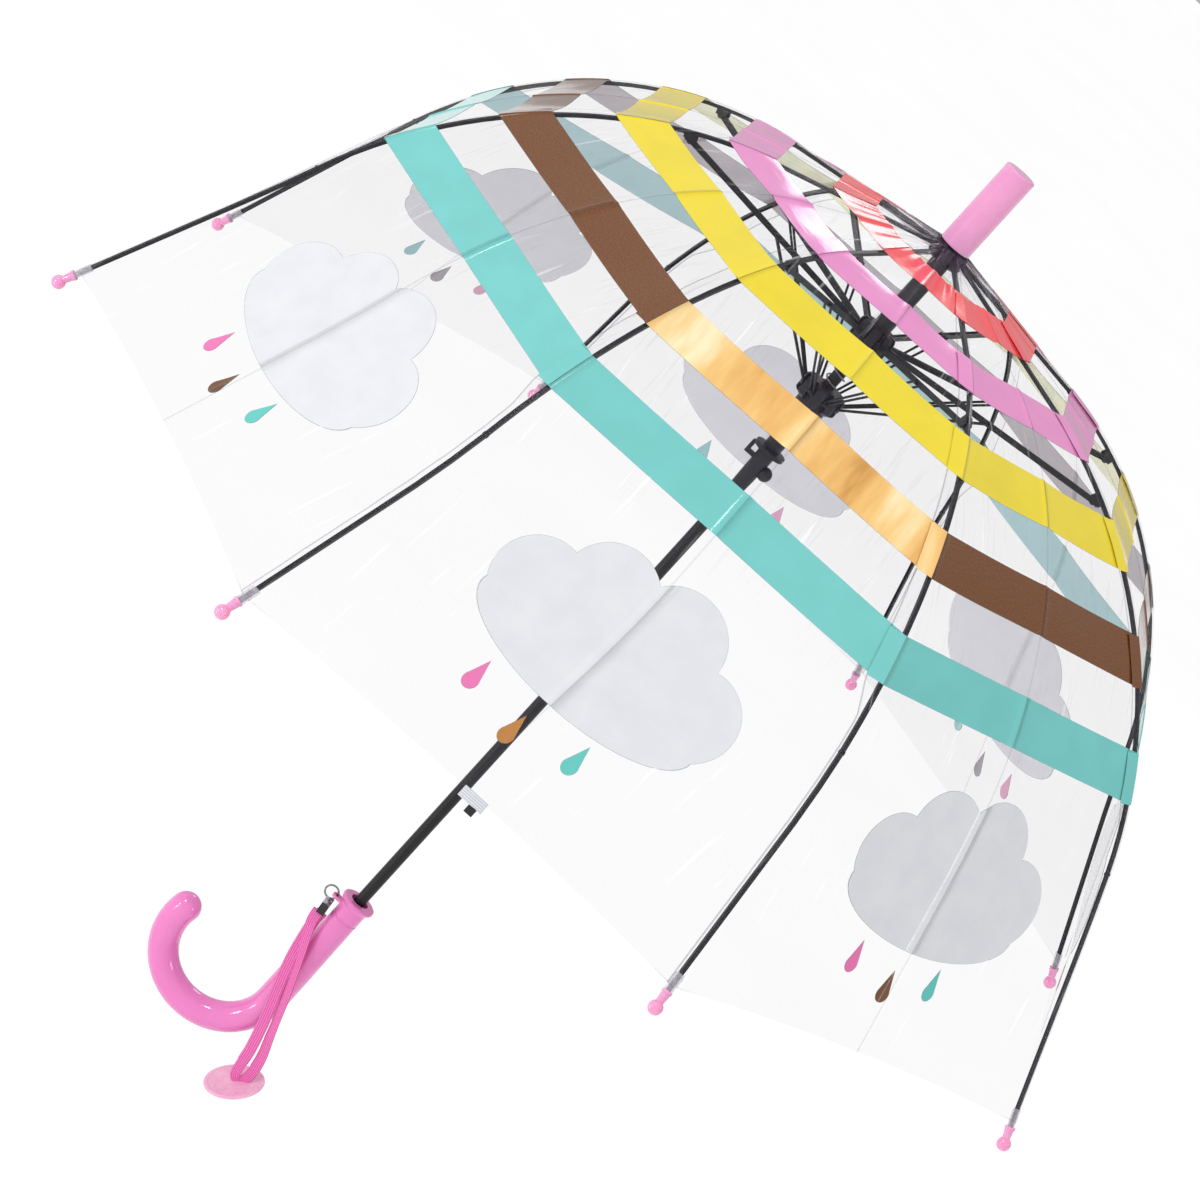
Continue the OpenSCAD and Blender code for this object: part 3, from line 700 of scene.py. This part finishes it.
# ------------------------------------------------------------------ laps of the film beside each rib, and welded tabs at the tips
LAP = 9.5
for i in range(1, 9):
    ss = ST[(ST >= 14) & (ST <= HEM)]
    xs = np.array([0.0, 0.12, 0.3, 0.5, 0.7, 0.85, 0.95, 1.0])
    verts, uvs, wls = [], [], []
    for s in ss:
        p, al = prof(s), slope(s)
        hw = p[0] * S8
        wl = min(LAP, hw * 0.26) * (1.0 if s < 320 else max(0.42, 1 - (s - 320) / 30.0))
        wls.append(wl)
        nrm = np.array([math.sin(al) * C8, -math.sin(al) * S8, math.cos(al) * C8]); nrm = nrm / np.linalg.norm(nrm)
        for x in xs:
            t = x * wl
            v = np.array([p[0] + t * EX, -t * EY, p[1]]) + nrm * (0.40 + (0.12 * math.sin(s / 9.0 + i) + 0.10 * math.sin(s / 3.7 + 2 * i)) * x)
            verts.append(turn(v, -tw(s))); uvs.append((t - wl, s - 1.5 * x))
    V_ = turn(np.array(verts), az(i)) + np.array([0, 0, AP])
    n, m_ = len(ss), len(xs)
    faces = [(a_ * m_ + j, a_ * m_ + j + 1, (a_ + 1) * m_ + j + 1, (a_ + 1) * m_ + j) for a_ in range(n - 1) for j in range(m_ - 1)]
    ob = new_mesh(f"film_lap_{i}", V_ * MM, faces)
    layer = ob.data.uv_layers.new(name="film")
    for poly in ob.data.polygons:
        for li in poly.loop_indices:
            x, y = uvs[ob.data.loops[li].vertex_index]
            layer.data[li].uv = (x * MM, y * MM)
    # the lap on rib 3 takes the lit copy of the foil print, with painted highlights
    ob.data.materials.append(M["flap_gold" if i == 3 else "flap"])
    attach(ob, f"rib_{i}")
    # tab: a flattened sleeve of film round the last centimetre of the rib
    verts, faces = [], []
    NA, NB = 28, 12
    for k in range(NB + 1):
        s = 482.5 + 12.0 * k / NB
        c_ = prof(s, -2.0)
        e = 1.0 if 0 < k < NB else 0.82
        w_ = (2.9 - 0.5 * k / NB + 0.25 * math.sin(k * 1.9 + i)) * e
        h_ = (2.0 - 0.1 * k / NB + 0.12 * math.sin(k * 2.3 + i)) * e
        n2 = np.array([math.sin(A2), 0, math.cos(A2)])
        for q_ in range(NA):
            th = 2 * math.pi * q_ / NA
            v = np.array([c_[0], -lat(s), c_[1]]) + np.array([0, 1.0, 0]) * w_ * math.cos(th) + n2 * h_ * math.sin(th)
            verts.append(v)
    for k in range(NB):
        for q_ in range(NA):
            faces.append((k * NA + q_, k * NA + (q_ + 1) % NA, (k + 1) * NA + (q_ + 1) % NA, (k + 1) * NA + q_))
    ob = new_mesh(f"film_tab_{i}", (turn(np.array(verts), az(i)) + np.array([0, 0, AP])) * MM, faces)
    ob.data.materials.append(M["tab"])
    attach(ob, f"rib_{i}")

# ------------------------------------------------------------------ tie strap on the hem
tie_s = 488.0
pt, al = prof(tie_s), slope(tie_s)
zax = np.array([math.sin(al), 0, math.cos(al) * C8]); zax = zax / np.linalg.norm(zax)      # out of the film, at the crease
dn = np.array([math.cos(al) * C8, 0, -math.sin(al)]); dn = dn / np.linalg.norm(dn)          # down the film
tang = np.array([0, 1.0, 0])
org = np.array([pt[0] * C8, 0, pt[1]])
TA = math.pi / 2 - tw(tie_s)


def local(x, y, z):
    """x down the film, y along the hem, z out of the film; around the crease of the second gore."""
    return turn(org + dn * x + tang * y + zax * z, TA) + np.array([0, 0, AP])


pth = [local(0.0, 0.5 + 14.0 * k / 24, 0.95 + 0.35 * math.sin(k / 24 * math.pi)) for k in range(25)]
tie, _ = swept_band("tie_band", np.array(pth), lambda i, d: (turn(dn, TA), 6.0), 6.0, 0.9, ribs=6, nw=28)
tie.data.materials.append(M["tie"])
pth2 = [local(2.4 + 4.4 * k / 12, 9.9, 0.9 + 0.2 * math.sin(k / 12 * math.pi)) for k in range(13)]
patch, _ = swept_band("tie_patch", np.array(pth2), lambda i, d: (turn(tang, TA), 4.8), 4.8, 1.2, ribs=7, nw=28)
patch.data.materials.append(M["patch"])
for o in (tie, patch):
    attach(o, "panel_2_right")
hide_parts("tie_strap")

# ------------------------------------------------------------------ the CAD pieces' materials
for n_ in ("shaft",):
    give(n_, "steel")
for n_ in ("crown", "upper_hub", "runner"):
    give(n_, "hub")
give("ferrule", "ferrule"); give("handle", "handle"); give("release_button", "button")
for i in range(1, 9):
    give(f"rib_{i}", "steel"); give(f"stretcher_{i}", "steel"); give(f"strut_{i}", "wire"); give(f"rib_tip_{i}", "tip")

# main spring: four open turns and half a closed turn at each end, round the shaft between the upper hub and the runner
zt, zb, turns, r_sp, r_w = AP - 74.2, AP - 101.1, 4.0, 4.6, 0.5
pth = []
for k in range(5 * 40 + 1):
    q = k / 40.0                                              # turns from the top
    f = min(max((q - 0.5) / turns, 0.0), 1.0)
    z = zt - min(q, 0.5) * 2 * r_w - f * (zt - zb - 2 * r_w) - max(q - 4.5, 0.0) * 2 * r_w
    pth.append((r_sp * math.cos(2 * math.pi * q), r_sp * math.sin(2 * math.pi * q), z))
pth = np.array(pth)
verts, faces, NS = [], [], 12
for k in range(len(pth)):
    d_ = pth[min(k + 1, len(pth) - 1)] - pth[max(k - 1, 0)]; d_ = d_ / np.linalg.norm(d_)
    o_ = np.array([pth[k][0], pth[k][1], 0.0]) / r_sp
    u_ = np.cross(d_, o_); u_ = u_ / np.linalg.norm(u_)
    for q_ in range(NS):
        th = 2 * math.pi * q_ / NS
        verts.append(pth[k] + r_w * (math.cos(th) * o_ + math.sin(th) * u_))
for k in range(len(pth) - 1):
    for q_ in range(NS):
        faces.append((k * NS + q_, k * NS + (q_ + 1) % NS, (k + 1) * NS + (q_ + 1) % NS, (k + 1) * NS + q_))
faces.append(tuple(range(NS - 1, -1, -1)))
faces.append(tuple((len(pth) - 1) * NS + q_ for q_ in range(NS)))
spring = new_mesh("main_spring_wire", np.array(verts) * MM, faces)
spring.data.materials.append(M["spring"])
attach(spring, "upper_hub")
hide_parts("main_spring")
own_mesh(spring)

# ------------------------------------------------------------------ floor and light
FLOOR_Z = -0.32
bpy.ops.mesh.primitive_plane_add(size=30, location=(0, 0, FLOOR_Z))
floor = bpy.context.object
floor.name = "floor"
fm, nt, b = mat("pale_floor")
nt.links.new(ramp(nt, noise(nt, 3, 2, 0.5), [(0.3, (0.44, 0.44, 0.443)), (0.7, (0.46, 0.46, 0.463))]), b.inputs["Base Color"])
b.inputs["Roughness"].default_value = 0.9
b.inputs["Specular IOR Level"].default_value = 0.1
b.inputs["Emission Color"].default_value = (1, 1, 1, 1)
b.inputs["Emission Strength"].default_value = 0.585
floor.data.materials.append(fm)

w = bpy.data.worlds.new("studio"); scene.world = w; w.use_nodes = True
bg = w.node_tree.nodes["Background"]
bg.inputs[0].default_value = (1, 1, 1, 1)
# the room is brighter above and in front of the object, darker behind it
wt = w.node_tree
wc = wt.nodes.new("ShaderNodeTexCoord")
dot = wt.nodes.new("ShaderNodeVectorMath"); dot.operation = "DOT_PRODUCT"
dot.inputs[1].default_value = (0.45, 0.62, 0.64)
wt.links.new(wc.outputs["Generated"], dot.inputs[0])
mr = wt.nodes.new("ShaderNodeMapRange"); mr.interpolation_type = "SMOOTHSTEP"
for k_, v_ in ((1, -0.9), (2, 0.9), (3, 0.42), (4, 1.02)):
    mr.inputs[k_].default_value = v_
wt.links.new(dot.outputs["Value"], mr.inputs[0])
wt.links.new(mr.outputs[0], bg.inputs[1])


def area(name, loc, target, size, power, color=(1, 1, 1)):
    d = bpy.data.lights.new(name, "AREA"); d.shape = "SQUARE"; d.size = size; d.energy = power; d.color = color
    o = bpy.data.objects.new(name, d); scene.collection.objects.link(o)
    o.location = loc
    o.rotation_euler = (Vector(target) - Vector(loc)).to_track_quat("-Z", "Y").to_euler()
    return o


area("key", (1.5, 1.5, 2.2), (0, 0, 0.30), 0.5, 11.5)
area("side", (1.22, 1.07, 0.08), (0, 0, 0.50), 0.26, 3.2)
area("low", (0.66, 0.52, -0.22), (0, 0, 0.0), 0.10, 0.35)
area("fill", (-2.2, 1.2, 1.4), (0, 0, 0.3), 0.5, 4)
area("back", (0.2, -2.4, 2.0), (0, 0, 0.4), 0.6, 5)

if hasattr(scene, "cycles"):
    scene.cycles.transparent_max_bounces = 64       # a line of sight can cross many layers of clear film
scene.view_settings.view_transform = "Standard"
scene.view_settings.look = "None"
